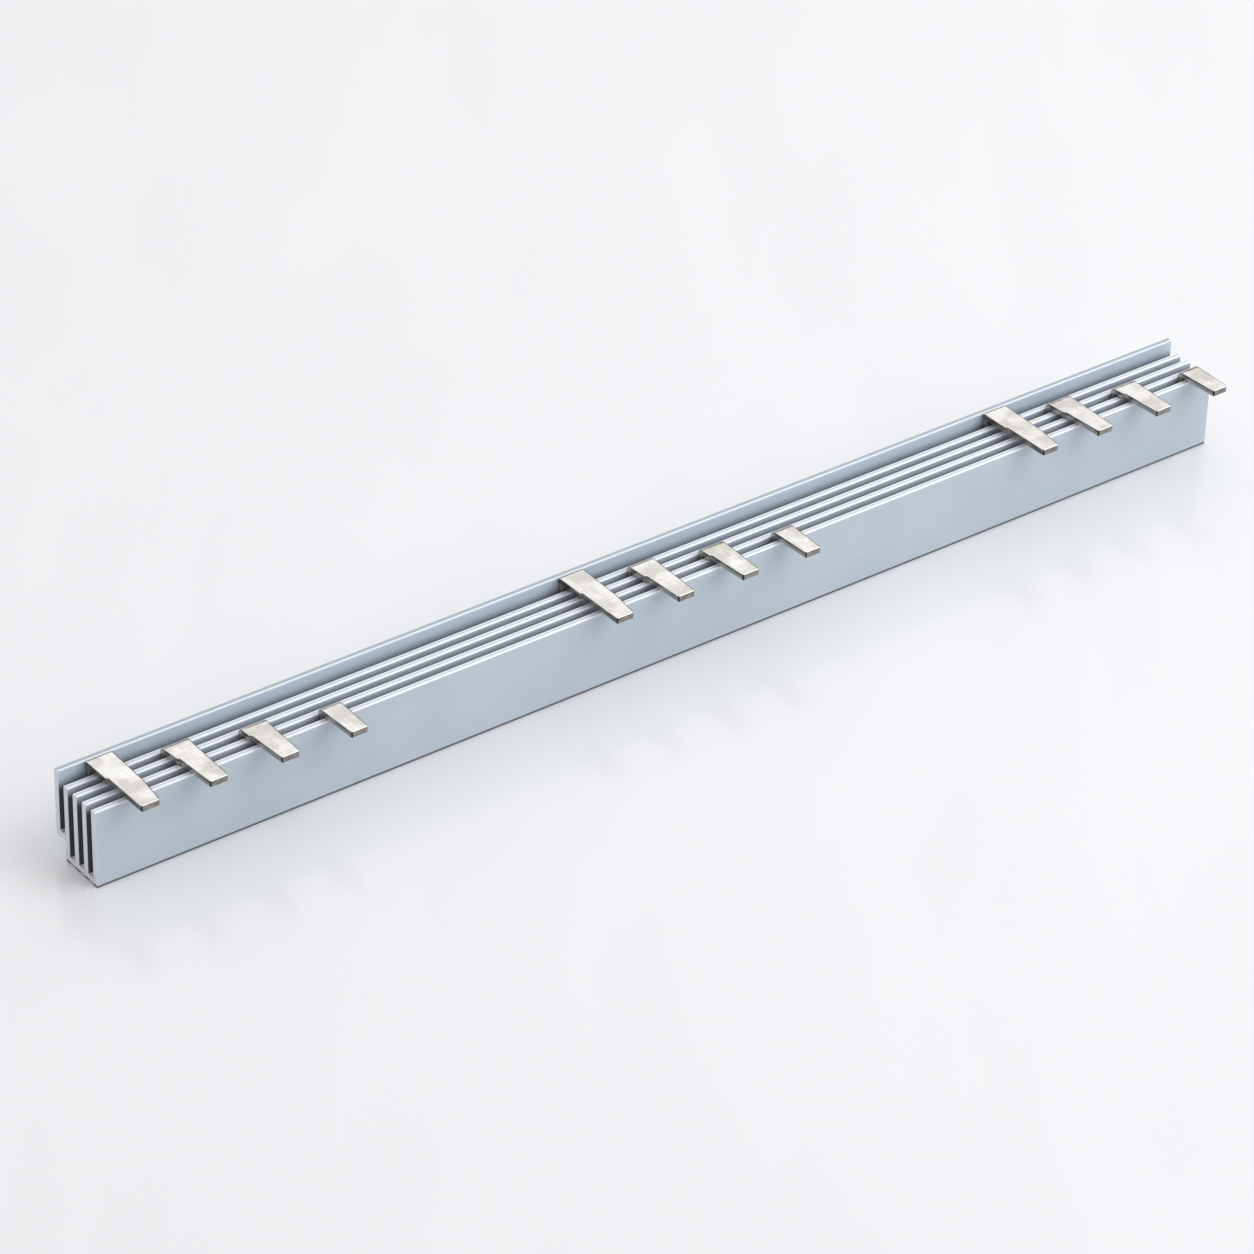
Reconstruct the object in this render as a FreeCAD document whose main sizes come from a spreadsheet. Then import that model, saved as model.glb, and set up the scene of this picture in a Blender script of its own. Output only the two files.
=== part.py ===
import FreeCAD, Part
import operator
import os

import Sketcher

# Comb busbar: an insulating profile with five walls and four channels that holds four
# comb bars. Each bar carries one tongue per device group.
#
# X runs along the profile, Y from the front wall to the back wall, Z up. The origin is
# the middle of the front wall's foot, on the plane the profile stands on.

# Driving sizes in millimetres, each written once.
SIZES = {
    # Insulating profile
    "wall_thickness": 1.65,
    "wall_height": 20.1,
    "back_wall_rise": 2.6,
    "groove_depth": 0.4,
    "floor_thickness": 1.1,
    "raised_floor_top": 6.8,
    "raised_floor_thickness": 1.6,
    "wall_crown_radius": 0.45,
    "foot_corner_radius": 0.25,
    "back_corner_radius": 0.7,
    "channel_root_radius": 0.3,
    # Comb bars
    "bar_thickness": 1.65,
    "side_clearance": 0.2,
    "bar_end_setback": 1.05,
    "bar_top_below_walls": 2.1,
    "module_pitch": 17.8,
    "group_pitch": 128.2,
    "first_tongue": 9.8,
    "strip_past_root": 1.7,
    "root_fillet": 0.3,
    "tongue_clearance": 0.45,
    "high_tongue_clearance": 1.25,
    "bend_outside": 1.7,
    "tight_bend_outside": 0.7,
    "bend_inside": 0.25,
    "tip_corner": 0.4,
    "shoulder_round": 0.4,
    "shoulder_run": 0.5,
    "tip_width": 4.7,
    "last_tip_width": 4.4,
    # Bar in the back channel
    "first_base_left": 3.0,
    "first_base_right": 3.75,
    "first_shoulder_step": 0.55,
    "first_knee_inset": 0.35,
    "first_shoulder": 6.1,
    "first_knee": 0.5,
    "first_reach": 7.2,
    # Second bar
    "second_base_left": 3.85,
    "second_base_right": 2.85,
    "second_shoulder_inset": 0.35,
    "second_shoulder_step": 0.55,
    "second_knee_inset": 0.15,
    "second_shoulder": 4.45,
    "second_knee": 5.6,
    "second_reach": 7.0,
    # Third bar
    "third_base_left": 3.65,
    "third_base_right": 2.9,
    "third_shoulder_inset": 0.15,
    "third_shoulder_step": 0.55,
    "third_knee_inset": 0.1,
    "third_shoulder": 2.75,
    "third_knee": 2.4,
    "third_reach": 8.3,
    # Bar in the front channel
    "last_base_left": 2.65,
    "last_base_right": 2.65,
    "last_reach": 9.1,
}

GROUPS = 3
CHANNELS = 4
NEAR = 0.001
# Stock left outside a cut, so that its far side is clear of the metal.
CLEAR = 5.0


class Length:
    """A length together with the sheet expression that gives it."""

    def __init__(self, value, text):
        self.value = value
        self.text = text

    def combine(self, sign, action, other):
        if not isinstance(other, Length):
            other = Length(float(other), str(float(other)))
        value = action(self.value, other.value)
        return Length(value, "(" + self.text + " " + sign + " " + other.text + ")")

    def __add__(self, other):
        return self.combine("+", operator.add, other)

    def __sub__(self, other):
        return self.combine("-", operator.sub, other)

    def __mul__(self, other):
        return self.combine("*", operator.mul, other)

    def __truediv__(self, other):
        return self.combine("/", operator.truediv, other)

    def __neg__(self):
        return Length(-self.value, "(0 - " + self.text + ")")


ZERO = Length(0.0, "0")
document = FreeCAD.newDocument("comb_busbar")


def fill_sheet():
    """Write the sizes into the sheet and return them as lengths by name."""
    sheet = document.addObject("Spreadsheet::Sheet", "Sizes")
    lengths = {}
    for row, (name, value) in enumerate(SIZES.items(), start=1):
        sheet.set("A" + str(row), name)
        sheet.set("B" + str(row), str(value))
        sheet.setAlias("B" + str(row), name)
        lengths[name] = Length(value, "Sizes." + name)
    document.recompute()
    return lengths


def new_body(label, origin):
    """A body placed at an origin of three lengths."""
    body = document.addObject("PartDesign::Body", label)
    body.Label = label
    for axis, length in zip("xyz", origin):
        body.setExpression("Placement.Base." + axis, length.text)
    return body


def origin_feature(body, role):
    for feature in body.Origin.OriginFeatures:
        if feature.Role == role:
            return feature
    raise ValueError("no origin feature " + role)


def new_sketch(body, name, plane, offset=ZERO):
    sketch = body.newObject("Sketcher::SketchObject", name)
    sketch.AttachmentSupport = [(origin_feature(body, plane), "")]
    sketch.MapMode = "FlatFace"
    sketch.setExpression("AttachmentOffset.Base.z", offset.text)
    return sketch


def pin_point(sketch, curve, end, place):
    """Hold one point of a curve at a pair of lengths from the sketch origin."""
    for length, kind, axis in zip(place, ("DistanceX", "DistanceY"), (-2, -1)):
        if length is ZERO:
            sketch.addConstraint(Sketcher.Constraint("PointOnObject", curve, end, axis))
            continue
        index = sketch.addConstraint(
            Sketcher.Constraint(kind, -1, 1, curve, end, length.value))
        sketch.setExpression("Constraints[" + str(index) + "]", length.text)


def sign_of(step):
    """-1, 0 or 1 for a step that runs back, not at all or forward."""
    return (step > NEAR) - (step < -NEAR)


def turning_points(before, corner, after):
    """Where a loop leaves a line, takes up the next, and the centre of the arc between.

    A corner is (across, along) when sharp. With a radius as a third length it is a right
    angle whose two lines run along the sketch axes.
    """
    place = corner[:2]
    if len(corner) == 2:
        return place, place, None
    radius = corner[2]
    arrive = []
    leave = []
    centre = []
    for axis in range(2):
        inward = sign_of(corner[axis].value - before[axis].value)
        outward = sign_of(after[axis].value - corner[axis].value)
        arrive.append(place[axis] - radius * inward if inward else place[axis])
        leave.append(place[axis] + radius * outward if outward else place[axis])
        centre.append(place[axis] + radius * (outward - inward))
    return arrive, leave, centre


def flat_point(place):
    return FreeCAD.Vector(place[0].value, place[1].value, 0)


def draw_loop(sketch, corners):
    """Close a loop of straight lines through corners, rounding those with a radius."""
    count = len(corners)
    stops = []
    for index, corner in enumerate(corners):
        stops.append(turning_points(corners[index - 1], corner, corners[(index + 1) % count]))
    curves = []
    for index in range(count):
        leave = stops[index][1]
        arrive, resume, centre = stops[(index + 1) % count]
        line = sketch.addGeometry(Part.LineSegment(flat_point(leave), flat_point(arrive)), False)
        pin_point(sketch, line, 1, leave)
        curves.append((line, 1, 2))
        if centre is None:
            continue
        pin_point(sketch, line, 2, arrive)
        heart = flat_point(centre)
        reach = flat_point(arrive) - heart
        crown = flat_point(corners[(index + 1) % count]) - heart
        middle = heart + crown.normalize() * reach.Length
        bow = Part.Arc(flat_point(arrive), middle, flat_point(resume))
        arc = sketch.addGeometry(bow, False)
        starts_here = sketch.getPoint(arc, 1).distanceToPoint(flat_point(arrive)) < NEAR
        curves.append((arc, 1, 2) if starts_here else (arc, 2, 1))
        across = sketch.addConstraint(
            Sketcher.Constraint("DistanceX", -1, 1, arc, 3, centre[0].value))
        sketch.setExpression("Constraints[" + str(across) + "]", centre[0].text)
    for index, (curve, begin, finish) in enumerate(curves):
        following, following_begin, following_finish = curves[(index + 1) % len(curves)]
        sketch.addConstraint(
            Sketcher.Constraint("Coincident", curve, finish, following, following_begin))


def pad(body, name, sketch, length, back_length=None):
    """Extrude a sketch along its normal, and also the other way when asked."""
    feature = body.newObject("PartDesign::Pad", name)
    feature.Profile = sketch
    feature.setExpression("Length", length.text)
    if back_length is not None:
        feature.SideType = "Two sides"
        feature.setExpression("Length2", back_length.text)
    sketch.Visibility = False
    document.recompute()
    return feature


def pocket(body, name, sketch, length, back_length=None):
    """Cut a sketch against its normal, and also the other way when asked."""
    before = body.Shape.Volume
    feature = body.newObject("PartDesign::Pocket", name)
    feature.Profile = sketch
    feature.setExpression("Length", length.text)
    if back_length is not None:
        feature.SideType = "Two sides"
        feature.setExpression("Length2", back_length.text)
    sketch.Visibility = False
    document.recompute()
    if body.Shape.Volume >= before - NEAR:
        raise ValueError(name + " cut nothing")
    return feature


def repeat_in_groups(body, name, features, spacing):
    """Repeat features along X, once for each device group."""
    feature = body.newObject("PartDesign::LinearPattern", name)
    feature.Originals = features
    feature.Direction = (origin_feature(body, "X_Axis"), [""])
    feature.Mode = "Spacing"
    feature.setExpression("Offset", spacing.text)
    feature.Occurrences = GROUPS
    body.Tip = feature
    document.recompute()
    return feature


def straight_direction(edge):
    """The unit direction of a straight edge, or None for a curved one."""
    if not isinstance(edge.Curve, Part.Line):
        return None
    step = edge.Vertexes[-1].Point - edge.Vertexes[0].Point
    return step.normalize()


def is_along(edge, axis):
    direction = straight_direction(edge)
    return direction is not None and abs(abs(direction.dot(axis)) - 1.0) < NEAR


def round_edges(body, name, radius, choose):
    """Fillet each edge of the body's tip that choose accepts."""
    base = body.Tip
    names = []
    for index, edge in enumerate(base.Shape.Edges, start=1):
        if choose(edge):
            names.append("Edge" + str(index))
    if not names:
        raise ValueError(name + " found no edge")
    feature = body.newObject("PartDesign::Fillet", name)
    feature.Base = (base, names)
    feature.setExpression("Radius", radius.text)
    document.recompute()
    if feature.Shape.isNull():
        raise ValueError(name + " could not be rounded")
    return feature


ALONG_X = FreeCAD.Vector(1, 0, 0)
ALONG_Z = FreeCAD.Vector(0, 0, 1)


def wall_pitch(size):
    """From one wall to the next: a wall, a bar and the clearance on its two sides."""
    return size["wall_thickness"] + size["bar_thickness"] + size["side_clearance"] * 2


def tongue_place(size, rank, group):
    """From the profile's left end to the middle of a tongue."""
    return size["first_tongue"] + size["module_pitch"] * rank + size["group_pitch"] * group


def profile_length(size):
    """The profile ends past the last tongue's root by the strip's lap and its setback."""
    root_end = tongue_place(size, CHANNELS - 1, GROUPS - 1) + size["last_base_right"]
    return root_end + size["strip_past_root"] + size["bar_end_setback"]


def floor_top(size):
    return size["groove_depth"] + size["floor_thickness"]


def profile_corner(size):
    """The left end of the front wall's foot, from which the sections are measured."""
    return -(profile_length(size) / 2), -(size["wall_thickness"] / 2)


def build_profile(size):
    """One extrusion: five walls, three low floors, one raised floor, grooved feet."""
    body = new_body("insulating_profile", profile_corner(size) + (ZERO,))
    pitch = wall_pitch(size)
    thick = size["wall_thickness"]
    height = size["wall_height"]
    floor = floor_top(size)
    groove = size["groove_depth"]
    raised = size["raised_floor_top"]
    raised_under = raised - size["raised_floor_thickness"]
    back_top = height + size["back_wall_rise"]
    back_front = pitch * CHANNELS
    last_back = pitch * (CHANNELS - 1) + thick

    corners = []
    for wall in range(CHANNELS):
        front = pitch * wall if wall else ZERO
        channel_floor = raised if wall == CHANNELS - 1 else floor
        following = back_front if wall == CHANNELS - 1 else pitch * (wall + 1)
        corners.append((front, height))
        corners.append((front + thick, height))
        corners.append((front + thick, channel_floor))
        corners.append((following, channel_floor))
    corners.append((back_front, back_top))
    corners.append((back_front + thick, back_top))
    corners.append((back_front + thick, raised_under))
    corners.append((last_back, raised_under))
    corners.append((last_back, ZERO))
    for wall in range(CHANNELS - 1, 0, -1):
        corners.append((pitch * wall, ZERO))
        corners.append((pitch * wall, groove))
        corners.append((pitch * (wall - 1) + thick, groove))
        corners.append((pitch * (wall - 1) + thick, ZERO))
    corners.append((ZERO, ZERO))

    section = new_sketch(body, "ProfileSection", "YZ_Plane")
    draw_loop(section, corners)
    pad(body, "ProfileExtrusion", section, profile_length(size))

    floors = (floor.value, raised.value)
    tops = (height.value, back_top.value)

    def at_height(levels):
        def choose(edge):
            level = edge.CenterOfMass.z
            return is_along(edge, ALONG_X) and any(abs(level - z) < NEAR for z in levels)
        return choose

    def is_back_corner(edge):
        outside = edge.CenterOfMass.y > back_front.value + NEAR
        return at_height([raised_under.value])(edge) and outside

    round_edges(body, "WallCrowns", size["wall_crown_radius"], at_height(tops))
    round_edges(body, "FootCorners", size["foot_corner_radius"], at_height([0.0]))
    round_edges(body, "BackCorner", size["back_corner_radius"], is_back_corner)
    round_edges(body, "ChannelRoots", size["channel_root_radius"], at_height(floors))
    return body


def build_bar(size, label, order):
    """One comb bar: a flat strip on edge, with a necked, bent and tapered tongue per group.

    The body's own origin is at the first tongue's middle, on the strip's back face and
    its lower edge. The tongue points to -Y.
    """
    rank = ("first", "second", "third", "last").index(order)
    is_high = order == "first"
    is_plain = order == "last"
    thick = size["bar_thickness"]
    channel = CHANNELS - rank
    back_face = wall_pitch(size) * channel - size["side_clearance"]
    rest = size["raised_floor_top"] if is_high else floor_top(size)
    middle = tongue_place(size, rank, 0)
    corner_x, corner_y = profile_corner(size)
    body = new_body(label, (corner_x + middle, corner_y + back_face, rest))

    # Heights and reaches, measured from the body's own origin.
    walls_top = size["wall_height"] - rest
    strip_top = walls_top - size["bar_top_below_walls"]
    over_walls = size["high_tongue_clearance"] if is_high else size["tongue_clearance"]
    top = walls_top + over_walls + thick
    bend = size["tight_bend_outside"] if is_high else size["bend_outside"]
    tip = -(back_face + size[order + "_reach"])
    left = -size[order + "_base_left"]
    right = size[order + "_base_right"]
    spacing = size["group_pitch"]
    half_tip = (size["last_tip_width"] if is_plain else size["tip_width"]) / 2
    strip_left = -(middle - size["bar_end_setback"])
    strip_right = profile_length(size) - size["bar_end_setback"] - middle

    # Neck and tongue, one bent section.
    side = new_sketch(body, label + "_bend_section", "YZ_Plane")
    draw_loop(side, [
        (ZERO, ZERO),
        (ZERO, top, bend),
        (tip, top),
        (tip, top - thick),
        (-thick, top - thick, size["bend_inside"]),
        (-thick, ZERO),
    ])
    bent = pad(body, label + "_bent_blank", side, right, -left)

    # Seen from above: the shoulder on the left, the knee on the right, and the taper.
    start = -thick
    plan = new_sketch(body, label + "_plan_waste", "XY_Plane", top)
    left_edge = [(left, start)]
    right_edge = [(right, start)]
    if not is_plain:
        shoulder_left = left if is_high else left + size[order + "_shoulder_inset"]
        waist = shoulder_left + size[order + "_shoulder_step"]
        run = size["shoulder_run"] / 2
        shoulder = size[order + "_shoulder"] - back_face
        knee = size[order + "_knee"] - back_face
        left_edge.append((shoulder_left, shoulder + run))
        left_edge.append((waist, shoulder - run))
        right_edge.append((right - size[order + "_knee_inset"], knee))
    if is_high:
        left_edge = left_edge[1:]
    for edge, outward, base in ((left_edge, -1, left), (right_edge, 1, right)):
        far = base + outward * CLEAR
        loop = edge + [(half_tip * outward, tip), (half_tip * outward, tip - CLEAR)]
        loop = loop + [(far, tip - CLEAR), (far, edge[0][1])]
        draw_loop(plan, loop)
    plan_cut = pocket(body, label + "_plan_cut", plan, thick + size["bend_inside"])

    repeat_in_groups(body, label + "_groups", [bent, plan_cut], spacing)

    def stands_at(places):
        """Upright edges through the tongue at any of the places, in every group."""
        def choose(edge):
            if not is_along(edge, ALONG_Z):
                return False
            spot = edge.CenterOfMass
            for group in range(GROUPS):
                for across, along in places:
                    aside = spot.x - group * spacing.value - across.value
                    if abs(aside) < NEAR and abs(spot.y - along.value) < NEAR:
                        return True
            return False
        return choose

    if not is_plain:
        round_edges(body, label + "_shoulders", size["shoulder_round"],
                    stands_at(left_edge[-2:]))
    round_edges(body, label + "_tips", size["tip_corner"],
                stands_at([(-half_tip, tip), (half_tip, tip)]))

    # The strip on edge, with a root under every tongue.
    outline = [(strip_left, ZERO), (strip_right, ZERO), (strip_right, strip_top)]
    for group in range(GROUPS - 1, -1, -1):
        shift = spacing * group
        outline.append((right + shift, strip_top, size["root_fillet"]))
        outline.append((right + shift, top - bend))
        outline.append((left + shift, top - bend))
        outline.append((left + shift, strip_top, size["root_fillet"]))
    outline.append((strip_left, strip_top))
    strip = new_sketch(body, label + "_strip_outline", "XZ_Plane")
    draw_loop(strip, outline)
    pad(body, label + "_strip", strip, thick)
    return body


size = fill_sheet()
bodies = [build_profile(size)]
for label, order in (
        ("busbar_l1", "first"),
        ("busbar_l2", "second"),
        ("busbar_l3", "third"),
        ("busbar_n", "last")):
    bodies.append(build_bar(size, label, order))
document.recompute()

for item in document.Objects:
    if any(state in ("Invalid", "Error") for state in item.State):
        raise ValueError(item.Name + " failed to build")

os.makedirs("parts", exist_ok=True)
for body in bodies:
    if body.Shape.isNull() or not body.Shape.isValid():
        raise ValueError(body.Label + " has no sound shape")
    body.Shape.exportStep("parts/" + body.Label + ".step")
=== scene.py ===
import math

import bmesh
import bpy
from mathutils import Matrix, Vector
from mathutils.bvhtree import BVHTree


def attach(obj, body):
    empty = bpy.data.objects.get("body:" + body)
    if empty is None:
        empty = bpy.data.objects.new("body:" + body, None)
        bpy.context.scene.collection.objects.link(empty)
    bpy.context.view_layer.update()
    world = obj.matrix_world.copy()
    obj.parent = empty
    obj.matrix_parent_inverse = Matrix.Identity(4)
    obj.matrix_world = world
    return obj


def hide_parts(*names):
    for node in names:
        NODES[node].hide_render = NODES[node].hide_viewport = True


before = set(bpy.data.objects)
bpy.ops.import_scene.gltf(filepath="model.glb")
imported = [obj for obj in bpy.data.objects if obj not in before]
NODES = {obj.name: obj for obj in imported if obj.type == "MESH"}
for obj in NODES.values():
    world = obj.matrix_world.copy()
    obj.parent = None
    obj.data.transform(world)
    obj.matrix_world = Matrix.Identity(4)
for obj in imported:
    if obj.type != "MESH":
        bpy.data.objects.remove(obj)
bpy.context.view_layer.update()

# Comb busbar: the five pieces of the frame with their edges rounded, on a pale studio floor.
# The frame is in metres. Sizes and places below are in millimetres of the same frame unless a
# comment says otherwise, and MM turns them into metres.
MM = 0.001
BARS = ("busbar_l1", "busbar_l2", "busbar_l3", "busbar_n")

# The profile's walls stand at an even pitch, and the first is centred on the frame's origin.
WALL_PITCH = 3.7
HALF_WALL = 0.825

PROFILE_ROUNDING = 0.14
BAR_ROUNDING = 0.16
TONGUES_ABOVE = 21.0
RIM_BAND = 0.20

# Base colours, linear red, green and blue.
PLASTIC = {
    "body_dark": (0.53, 0.605, 0.685),
    "body_light": (0.565, 0.64, 0.715),
    # Painted light and shade in the channels: a lighter, bluer tone on their faces, painted shade
    # at their feet.
    "channel": (0.60, 0.69, 0.80),
    "channel_foot": (0.038, 0.05, 0.07),
    # Crowns: painted light and painted shade, and painted highlights along their edges.
    "crown_front_painted_light": (0.625, 0.69, 0.778),
    "crown_back_painted_highlight": (0.92, 0.94, 0.96),
    "tall_crown_painted_shade": (0.39, 0.455, 0.53),
    "painted_rim": (0.97, 0.985, 1.0),
    "tall_painted_rim": (0.81, 0.88, 0.94),
    # Sawn ends: a painted highlight on their edges; their faces partly painted light.
    "sawn_edge_highlight": (0.95, 0.955, 0.97),
    "sawn_dark": (0.79, 0.80, 0.83),
    "sawn_light": (0.84, 0.845, 0.87),
    # Painted shade along the feet.
    "foot": (0.07, 0.075, 0.08),
}
TIN = {
    "cloud_dark": (0.64, 0.605, 0.57),
    "cloud_light": (0.86, 0.845, 0.82),
    "brushed": (0.50, 0.47, 0.44),
    # Sheared faces: their own dull colour, darkened in part with painted shade.
    "tip_pale": (0.30, 0.275, 0.25),
    "tip_dark": (0.19, 0.17, 0.155),
    "flank_pale": (0.32, 0.29, 0.265),
    "flank_dark": (0.12, 0.105, 0.095),
    # Painted shade on the faces turned down.
    "lower_edge_shade": (0.05, 0.045, 0.04),
    "web": (0.50, 0.47, 0.44),
    # Painted highlight and painted shade on the tongues' rims.
    "painted_highlight_rim": (0.90, 0.89, 0.87),
    "painted_shade_rim": (0.07, 0.062, 0.056),
    # Painted shade at the tips' front left corners.
    "tip_corner": (0.03, 0.027, 0.025),
}
FLOOR = {
    # Tones of the floor's painted reflection streaks.
    "dark": (0.848, 0.858, 0.878),
    "light": (0.864, 0.874, 0.894),
}
SKY = {
    "horizon": (0.30, 0.31, 0.33),
    "overhead": (1.0, 1.0, 1.0),
}


# Materials

def opaque(colour):
    """A colour with full alpha. A socket stays as it is."""
    if isinstance(colour, tuple):
        return (*colour, 1.0)
    return colour


class Shader:
    """A material's node tree with short calls for the nodes used here."""

    def __init__(self, name):
        self.material = bpy.data.materials.new(name)
        self.material.use_nodes = True
        self.tree = self.material.node_tree
        self.tree.nodes.clear()
        self.output = self.tree.nodes.new("ShaderNodeOutputMaterial")

    def node(self, kind, **settings):
        made = self.tree.nodes.new(kind)
        for name, value in settings.items():
            setattr(made, name, value)
        return made

    def feed(self, value, socket):
        if isinstance(value, bpy.types.NodeSocket):
            self.tree.links.new(value, socket)
        else:
            socket.default_value = value

    def math(self, operation, first, second=0.0):
        made = self.node("ShaderNodeMath", operation=operation)
        self.feed(first, made.inputs[0])
        self.feed(second, made.inputs[1])
        return made.outputs[0]

    def product(self, *factors):
        total, *others = factors
        for other in others:
            total = self.math("MULTIPLY", total, other)
        return total

    def step(self, value, limits, results=(0.0, 1.0)):
        """A smooth step between two results while the value goes from one limit to the other."""
        made = self.node("ShaderNodeMapRange", clamp=True, interpolation_type="SMOOTHSTEP")
        for socket, given in zip(made.inputs[:5], (value, *limits, *results)):
            self.feed(given, socket)
        return made.outputs[0]

    def mix(self, share, first, second):
        """The first colour where the share is 0 and the second where it is 1."""
        made = self.node("ShaderNodeMix", data_type="RGBA")
        self.feed(share, made.inputs[0])
        self.feed(opaque(first), made.inputs[6])
        self.feed(opaque(second), made.inputs[7])
        return made.outputs[2]

    def position(self, scale=(1.0, 1.0, 1.0), turn=0.0):
        """The point in millimetres, times scale along each axis, turned about Z by degrees."""
        coordinates = self.node("ShaderNodeTexCoord")
        mapping = self.node("ShaderNodeMapping", vector_type="TEXTURE")
        self.feed(coordinates.outputs["Object"], mapping.inputs["Vector"])
        self.feed((0.0, 0.0, math.radians(turn)), mapping.inputs["Rotation"])
        self.feed(tuple(MM / share for share in scale), mapping.inputs["Scale"])
        return mapping.outputs["Vector"]

    def noise(self, vector, scale, detail=3.0, roughness=0.5, distortion=0.0):
        made = self.node("ShaderNodeTexNoise")
        self.feed(vector, made.inputs["Vector"])
        self.feed(scale, made.inputs["Scale"])
        self.feed(detail, made.inputs["Detail"])
        self.feed(roughness, made.inputs["Roughness"])
        self.feed(distortion, made.inputs["Distortion"])
        return made.outputs["Fac"]

    def split(self, vector):
        made = self.node("ShaderNodeSeparateXYZ")
        self.feed(vector, made.inputs[0])
        return made.outputs

    def normal(self):
        return self.split(self.node("ShaderNodeNewGeometry").outputs["Normal"])

    def bump(self, height, distance):
        """A normal bumped by a height of 0 to 1 that stands for a distance in millimetres."""
        made = self.node("ShaderNodeBump")
        self.feed(height, made.inputs["Height"])
        self.feed(distance * MM, made.inputs["Distance"])
        self.feed(1.0, made.inputs["Strength"])
        return made.outputs["Normal"]

    def surface(self, **inputs):
        made = self.node("ShaderNodeBsdfPrincipled")
        for name, value in inputs.items():
            self.feed(value, made.inputs[name.replace("_", " ")])
        self.feed(made.outputs["BSDF"], self.output.inputs["Surface"])
        return self.material


def profile_plastic():
    """Blue-grey satin PVC: faint clouding, die lines, crowns and sawn ends paler with painted
    light, painted shade in the channels.
    """
    shader = Shader("profile_plastic")
    place = shader.position()
    x, y, z = shader.split(place)
    normal_x, _, normal_z = shader.normal()
    endward = shader.math("ABSOLUTE", normal_x)

    # Places, each as the limits of a smooth step: the outer walls' inner sides, the ends, the
    # step under the raised floor, the tall back wall, the channels' fall into painted shade, the
    # middle of a crown and the feet.
    behind_front_wall = (-0.75, 0.0)
    before_back_face = (15.3, 14.6)
    near_ends = (161.2, 162.2)
    behind_step = (11.7, 11.85)
    below_step = (5.3, 5.1)
    at_back_wall = (12.5, 13.5)
    channel_fall = (20.7, 17.2)
    low_walls_darken_lower_by = 0.2
    crown_middle = (0.95, 1.15)
    near_floor = (0.75, 0.40)

    # Facings, as limits of the normal's share along Z or, at the ends, along X.
    level = (0.5, 0.9)
    downward = (-0.3, -0.5)
    crowned = (0.15, 0.5)
    off_the_side = (0.10, 0.40)
    off_the_top = (0.9995, 0.96)
    off_the_underside = (-0.95, -0.80)
    towards_end = (0.2, 0.6)
    at_end_face = (0.90, 0.99)

    cloud = shader.noise(place, 0.045, detail=2.0)
    tone = shader.mix(shader.step(cloud, (0.3, 0.7)), PLASTIC["body_dark"], PLASTIC["body_light"])

    # Channel faces: painted a little lighter and bluer, and darkened with painted shade from the
    # crowns down. Level faces at the ends, the step under the raised floor and whatever faces down
    # stay as they are. The painted shade on the tall back wall's face starts a little higher than
    # on the others.
    within = shader.product(shader.step(y, behind_front_wall), shader.step(y, before_back_face))
    at_ends = shader.step(shader.math("ABSOLUTE", x), near_ends)
    mouth = shader.product(at_ends, shader.step(normal_z, level))
    below_floor = shader.product(shader.step(y, behind_step), shader.step(z, below_step))
    underside = shader.step(normal_z, downward)
    plain = shader.math("MAXIMUM", shader.math("MAXIMUM", mouth, below_floor), underside)
    channel = shader.product(within, shader.math("SUBTRACT", 1.0, plain))
    tone = shader.mix(channel, tone, PLASTIC["channel"])
    back_wall = shader.step(y, at_back_wall)
    shift = shader.step(back_wall, (0.0, 1.0), (low_walls_darken_lower_by, 0.0))
    height = shader.math("ADD", z, shift)
    deep = shader.product(channel, shader.step(height, channel_fall, (0.0, 0.93)))
    tone = shader.mix(deep, tone, PLASTIC["channel_foot"])

    # Crowns: painted light, bluer on the front half of each than on the back half, which is painted
    # near white; painted shade on the tall back wall's crown; painted highlights along the crowns'
    # edges, dimmer on the tall back wall.
    across = shader.math("MODULO", shader.math("ADD", y, HALF_WALL), WALL_PITCH)
    back_half = shader.step(across, crown_middle)
    painted_crown_tone = shader.mix(back_half, PLASTIC["crown_front_painted_light"], PLASTIC["crown_back_painted_highlight"])
    painted_crown_tone = shader.mix(back_wall, painted_crown_tone, PLASTIC["tall_crown_painted_shade"])
    tone = shader.mix(shader.step(normal_z, crowned), tone, painted_crown_tone)
    painted_rim = shader.product(shader.step(normal_z, off_the_side), shader.step(normal_z, off_the_top))
    tone = shader.mix(painted_rim, tone, shader.mix(back_wall, PLASTIC["painted_rim"], PLASTIC["tall_painted_rim"]))

    # Sawn ends: a painted highlight on their rounded edges, and faces paler than the body, partly
    # the sawn surface's own colour and partly painted light. Painted shade along the feet.
    grain = shader.noise(place, 1.2)
    tone = shader.mix(shader.step(endward, towards_end, (0.0, 0.85)), tone, PLASTIC["sawn_edge_highlight"])
    sawn = shader.mix(shader.step(grain, (0.35, 0.65)), PLASTIC["sawn_dark"], PLASTIC["sawn_light"])
    tone = shader.mix(shader.step(endward, at_end_face), tone, sawn)
    foot = shader.product(shader.step(z, near_floor), shader.step(normal_z, off_the_underside))
    tone = shader.mix(foot, tone, PLASTIC["foot"])

    die_lines = shader.noise(shader.position((0.01, 1.0, 1.0)), 3.0)
    return shader.surface(
        Base_Color=tone,
        Roughness=shader.step(grain, (0.2, 0.8), (0.20, 0.26)),
        IOR=1.5,
        Normal=shader.bump(die_lines, 0.002),
    )


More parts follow.
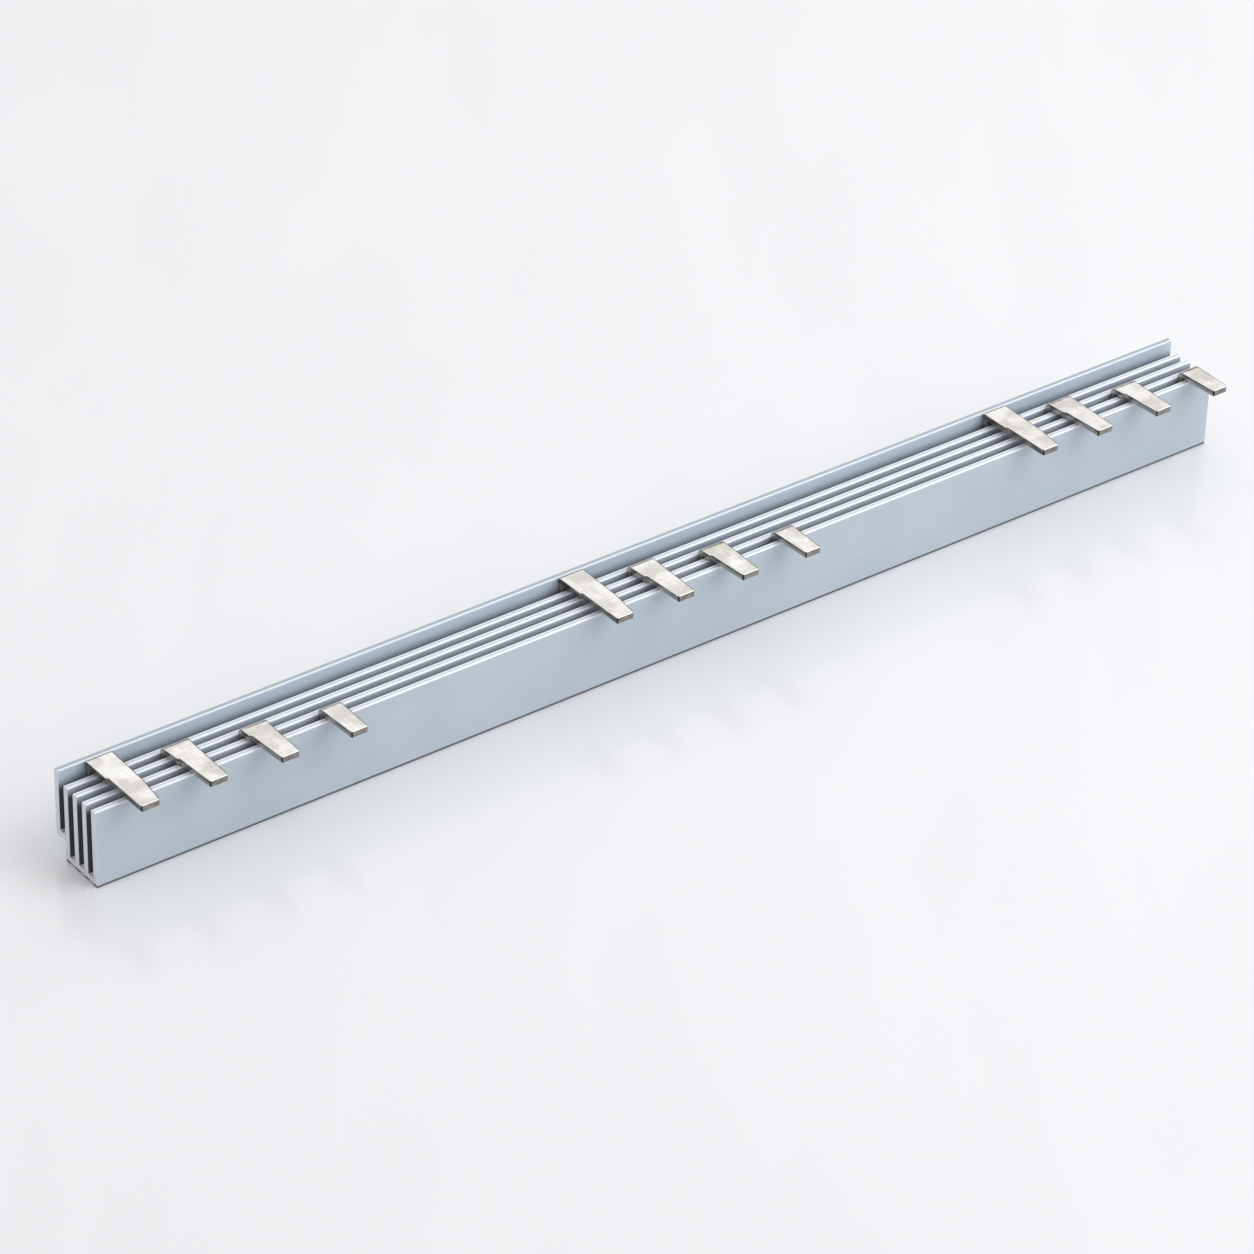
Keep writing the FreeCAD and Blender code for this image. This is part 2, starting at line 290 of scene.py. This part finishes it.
def tinned_copper():
    """Satin tin plating: warm grey, clouded and faintly brushed, dull on the sheared edges and
    partly darkened there with painted shade, with painted highlights and painted shade on the
    tongues' rims.
    """
    shader = Shader("tinned_copper")
    place = shader.position()
    _, y, z = shader.split(place)
    normal_x, normal_y, normal_z = shader.normal()
    flank = shader.step(shader.math("ABSOLUTE", normal_x), (0.3, 0.7))

    # Places and facings, each as the limits of a smooth step.
    below_tongues = (21.8, 21.1)
    towards_tips = (-4.0, -5.0)
    upright = (0.80, 0.35)
    downward = (-0.05, -0.35)
    off_the_underside = (-0.98, -0.90)
    into_the_bend = (0.9998, 0.996)
    out_of_the_bend = (0.96, 0.985)
    backward = (0.0, 0.04)
    towards_left_or_front = (-0.10, -0.35)
    off_the_top = (0.5, 0.25)
    highlight_rims = (-0.45, -0.85)
    shade_rims = (0.20, 0.60)

    # Flat faces: clouds and a fine weave of brushed lines.
    cloud = shader.noise(place, 0.20, detail=2.0, roughness=0.45, distortion=0.3)
    tone = shader.mix(shader.step(cloud, (0.36, 0.64)), TIN["cloud_dark"], TIN["cloud_light"])
    brushed = shader.noise(shader.position((0.05, 1.0, 1.0)), 3.0, detail=2.0)
    crossed = shader.noise(shader.position((1.0, 0.05, 1.0)), 3.0, detail=2.0)
    woven = shader.math("ADD", shader.product(brushed, 0.5), shader.product(crossed, 0.5))
    tone = shader.mix(shader.step(woven, (0.40, 0.58), (0.35, 0.0)), tone, TIN["brushed"])

    # Sheared faces: smeared dull metal at the tips and flanks, partly darkened with painted
    # shade; paler on the webs' flanks below the tongues; painted shade, almost black, on the
    # faces turned down along the lower edges.
    sheared = shader.step(shader.math("ABSOLUTE", normal_z), upright, (0.0, 0.97))
    smear = shader.noise(shader.position((1.0, 0.4, 1.4)), 0.6)
    pale = shader.mix(flank, TIN["tip_pale"], TIN["flank_pale"])
    deep = shader.mix(flank, TIN["tip_dark"], TIN["flank_dark"])
    tone = shader.mix(sheared, tone, shader.mix(shader.step(smear, (0.36, 0.64)), deep, pale))
    downward_shade = shader.product(
        shader.step(normal_z, downward),
        shader.step(normal_z, off_the_underside),
        0.85,
    )
    tone = shader.mix(downward_shade, tone, TIN["lower_edge_shade"])
    web = shader.product(flank, shader.step(z, below_tongues, (0.0, 0.85)))
    tone = shader.mix(web, tone, TIN["web"])

    # Rims of the tongues' tops: a painted highlight to the front and left, painted shade to the
    # back and right and along the first part of the bend.
    band = shader.node("ShaderNodeAttribute", attribute_name="painted_rim").outputs["Fac"]
    light = shader.step(band, highlight_rims)
    bend = shader.product(
        shader.step(normal_z, out_of_the_bend),
        shader.step(normal_z, into_the_bend),
        shader.step(normal_y, backward),
    )
    dark = shader.product(shader.math("MAXIMUM", bend, shader.step(band, shade_rims)), 0.93)
    tone = shader.mix(light, tone, TIN["painted_highlight_rim"])
    tone = shader.mix(dark, tone, TIN["painted_shade_rim"])

    # Painted shade, almost black, on the upright edge at each tip's front left corner.
    corner = shader.product(
        shader.step(normal_x, towards_left_or_front),
        shader.step(normal_y, towards_left_or_front),
        shader.step(normal_z, off_the_top),
        shader.step(y, towards_tips, (0.0, 0.95)),
    )
    tone = shader.mix(corner, tone, TIN["tip_corner"])

    speck = shader.noise(place, 4.0, detail=2.0)
    roughness = shader.step(speck, (0.25, 0.75), (0.26, 0.34))
    relief = shader.math("ADD", shader.product(woven, 0.7), shader.product(speck, 0.3))
    return shader.surface(
        Base_Color=tone,
        Metallic=1.0,
        Roughness=shader.math("ADD", roughness, shader.product(light, 0.2)),
        Normal=shader.bump(relief, 0.003),
    )


def floor_surface():
    """Pale, slightly glossy studio floor with long faint streaks laid along the view as painted
    reflection streaks.
    """
    shader = Shader("studio_floor")
    reflection_streaks = shader.noise(shader.position((1.0, 0.25, 1.0), turn=-38.0), 0.03, detail=2.0)
    return shader.surface(
        Base_Color=shader.mix(shader.step(reflection_streaks, (0.35, 0.65)), FLOOR["dark"], FLOOR["light"]),
        Roughness=0.15,
        IOR=1.45,
    )


def cover(piece, material):
    piece.data.materials.clear()
    piece.data.materials.append(material)


# Rounded pieces

def facing_back(direction):
    """Whether a direction points more to the back or right than to the front or left."""
    return max(direction.x, direction.y) > abs(min(direction.x, direction.y))


def mark_rims(form, rounded):
    """The rounded edges of every tongue's top and a narrow band inside them, marked 1 for painted
    shade and -1 for a painted highlight.
    """
    turned_up = 0.2
    level = 0.999
    layer = form.loops.layers.float.new("painted_rim")
    for face in rounded:
        upper = face.normal.z > turned_up and face.calc_center_median().z > TONGUES_ABOVE
        side = 1.0 if facing_back(face.normal) else -1.0
        for loop in face.loops:
            loop[layer] = side if upper else 0.0
    tops = [face for face in form.faces
            if face.normal.z > level and face.calc_center_median().z > TONGUES_ABOVE]
    outlines = {vert for face in tops for vert in face.verts}
    bands = bmesh.ops.inset_individual(form, faces=tops, thickness=RIM_BAND, depth=0.0,
                                       use_even_offset=True)
    for band in bands["faces"]:
        edge = [vert.co for vert in band.verts if vert in outlines]
        outward = (sum(edge, Vector()) / len(edge)) - band.calc_center_median()
        side = 1.0 if facing_back(outward) else -1.0
        for loop in band.loops:
            loop[layer] = side if loop.vert in outlines else 0.0


def round_edges(form, radius):
    """Rounds a form's sharp outer edges and gives the new faces. Points that a bevel throws
    farther than the radius go back to the form's own surface."""
    welded_within = 0.0005
    flat_within = math.radians(0.5)
    rounded_above = math.radians(40)
    bmesh.ops.remove_doubles(form, verts=form.verts, dist=welded_within)
    bmesh.ops.dissolve_limit(form, angle_limit=flat_within, verts=form.verts,
                             edges=form.edges, delimit={"NORMAL"})
    surface = BVHTree.FromBMesh(form)
    sharp = [edge for edge in form.edges
             if edge.is_manifold and edge.is_convex and edge.calc_face_angle() > rounded_above]
    rounded = bmesh.ops.bevel(form, geom=sharp, offset=radius, offset_type="OFFSET", segments=3,
                              profile=0.5, affect="EDGES", clamp_overlap=False)["faces"]
    for vert in form.verts:
        nearest, _, _, distance = surface.find_nearest(vert.co)
        if distance > radius:
            vert.co = nearest
    return rounded


def soften(node, name, radius, material, has_tongues):
    """A copy of a node with rounded edges, standing for the node. It is worked on in
    millimetres."""
    sharp_above = math.radians(50)
    form = bmesh.new()
    form.from_mesh(NODES[node].data)
    bmesh.ops.scale(form, vec=(1.0 / MM, 1.0 / MM, 1.0 / MM), verts=form.verts)
    rounded = round_edges(form, radius)
    if has_tongues:
        mark_rims(form, rounded)
    bmesh.ops.scale(form, vec=(MM, MM, MM), verts=form.verts)
    mesh = bpy.data.meshes.new(name)
    form.to_mesh(mesh)
    form.free()
    mesh.shade_smooth()
    mesh.set_sharp_from_angle(angle=sharp_above)
    piece = bpy.data.objects.new(name, mesh)
    bpy.context.scene.collection.objects.link(piece)
    weigh = piece.modifiers.new("flat_faces", "WEIGHTED_NORMAL")
    weigh.keep_sharp = True
    cover(piece, material)
    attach(piece, "root")
    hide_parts(node)


plastic = profile_plastic()
tin = tinned_copper()
soften("insulating_profile", "profile_softened", PROFILE_ROUNDING, plastic,
       has_tongues=False)
for bar in BARS:
    soften(bar, bar + "_softened", BAR_ROUNDING, tin, has_tongues=True)


# Floor, lamps and world, in metres

def make_floor():
    reach = 4.0
    corners = [(-reach, -reach, 0), (reach, -reach, 0), (reach, reach, 0), (-reach, reach, 0)]
    mesh = bpy.data.meshes.new("studio_floor")
    mesh.from_pydata(corners, [], [(0, 1, 2, 3)])
    floor = bpy.data.objects.new("studio_floor", mesh)
    bpy.context.scene.collection.objects.link(floor)
    cover(floor, floor_surface())


def make_lamp(name, place, size, watts):
    """A rectangular softbox that faces the frame's origin."""
    lamp = bpy.data.lights.new(name, "AREA")
    lamp.shape = "RECTANGLE"
    lamp.size, lamp.size_y = size
    lamp.energy = watts
    holder = bpy.data.objects.new(name, lamp)
    bpy.context.scene.collection.objects.link(holder)
    holder.location = place
    holder.rotation_mode = "QUATERNION"
    holder.rotation_quaternion = (-Vector(place)).to_track_quat("-Z", "Y")


def make_world():
    """Even pale surroundings, darker towards the horizon."""
    brightness = 0.72
    pale_from = 0.5
    world = bpy.data.worlds.new("surroundings")
    bpy.context.scene.world = world
    world.use_nodes = True
    tree = world.node_tree
    tree.nodes.clear()
    coordinates = tree.nodes.new("ShaderNodeTexCoord")
    split = tree.nodes.new("ShaderNodeSeparateXYZ")
    ramp = tree.nodes.new("ShaderNodeValToRGB")
    background = tree.nodes.new("ShaderNodeBackground")
    output = tree.nodes.new("ShaderNodeOutputWorld")
    horizon, overhead = ramp.color_ramp.elements
    horizon.position = 0.0
    horizon.color = opaque(SKY["horizon"])
    overhead.position = pale_from
    overhead.color = opaque(SKY["overhead"])
    background.inputs["Strength"].default_value = brightness
    tree.links.new(coordinates.outputs["Generated"], split.inputs[0])
    tree.links.new(split.outputs[2], ramp.inputs[0])
    tree.links.new(ramp.outputs[0], background.inputs["Color"])
    tree.links.new(background.outputs[0], output.inputs["Surface"])


make_floor()
make_lamp("front_softbox", place=(0.70, -0.75, 0.95), size=(1.2, 1.2), watts=9.5)
make_lamp("back_softbox", place=(0.60, 0.90, 0.90), size=(1.6, 1.2), watts=3.0)
make_world()


# Camera

def make_camera():
    """The photo's camera, as fitted to points read off the photo: its direction, its distance
    from a target point and how far it stands beside the line through that point."""
    azimuth, elevation, roll = (math.radians(angle) for angle in (-37.994, 33.247, 1.57))
    target = Vector((-0.5, 7.175, 12.0))
    distance = 1229.2
    beside_right, beside_up = -9.42, -7.90
    focal_pixels = 5274.0
    photo_pixels = 1254.0
    sensor_width = 36.0
    back = Vector((math.sin(azimuth) * math.cos(elevation),
                   -math.cos(azimuth) * math.cos(elevation),
                   math.sin(elevation)))
    level = Vector((math.cos(azimuth), math.sin(azimuth), 0.0))
    upright = back.cross(level)
    right = math.cos(roll) * level + math.sin(roll) * upright
    up = -math.sin(roll) * level + math.cos(roll) * upright
    place = (target + distance * back + beside_right * right + beside_up * up) * MM
    lens = bpy.data.cameras.new("camera")
    lens.sensor_width = sensor_width
    lens.lens = focal_pixels / photo_pixels * sensor_width
    camera = bpy.data.objects.new("camera", lens)
    bpy.context.scene.collection.objects.link(camera)
    turn = Matrix((right, up, back)).transposed().to_4x4()
    camera.matrix_world = Matrix.Translation(place) @ turn
    bpy.context.scene.camera = camera


make_camera()
bpy.context.scene.view_settings.view_transform = "Standard"
